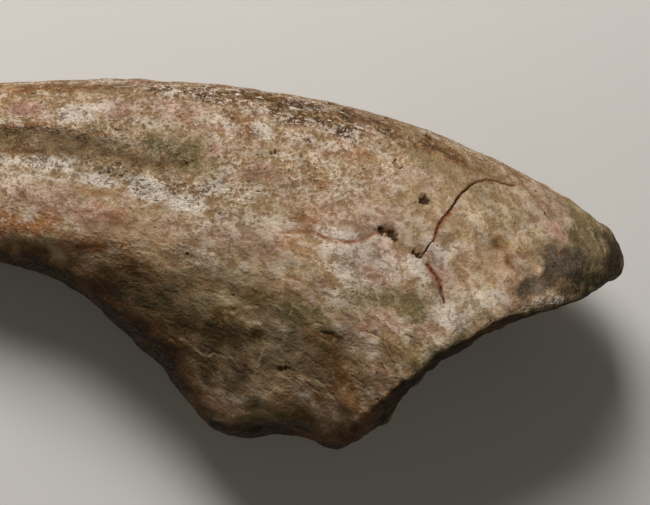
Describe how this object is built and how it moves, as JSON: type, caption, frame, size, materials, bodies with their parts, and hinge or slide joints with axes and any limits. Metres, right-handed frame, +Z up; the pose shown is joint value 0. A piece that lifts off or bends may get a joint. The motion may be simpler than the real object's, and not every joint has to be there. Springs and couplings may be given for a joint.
{
  "type": "fossil claw",
  "caption": "Curved fossil foot claw bone of a large meat-eating dinosaur, lying on its side, with a hollow joint end, side grooves and a knob under the base.",
  "frame": {"origin": "bottom centre of the box round the claw as it lies, on the surface that it rests on", "axes": "+X runs from the tip to the joint end, +Y points to the outer (dorsal) curve, +Z is up from the surface that it lies on"},
  "size_m": [0.187, 0.0704, 0.0434],
  "materials": {
    "fossil_bone": "dull mineralised bone, tan with pink, ochre and dark brown stains, pale flecks, pits and fine cracks"
  },
  "bodies": {
    "root": {"claw": "fossil_bone"}
  },
  "joints": []
}
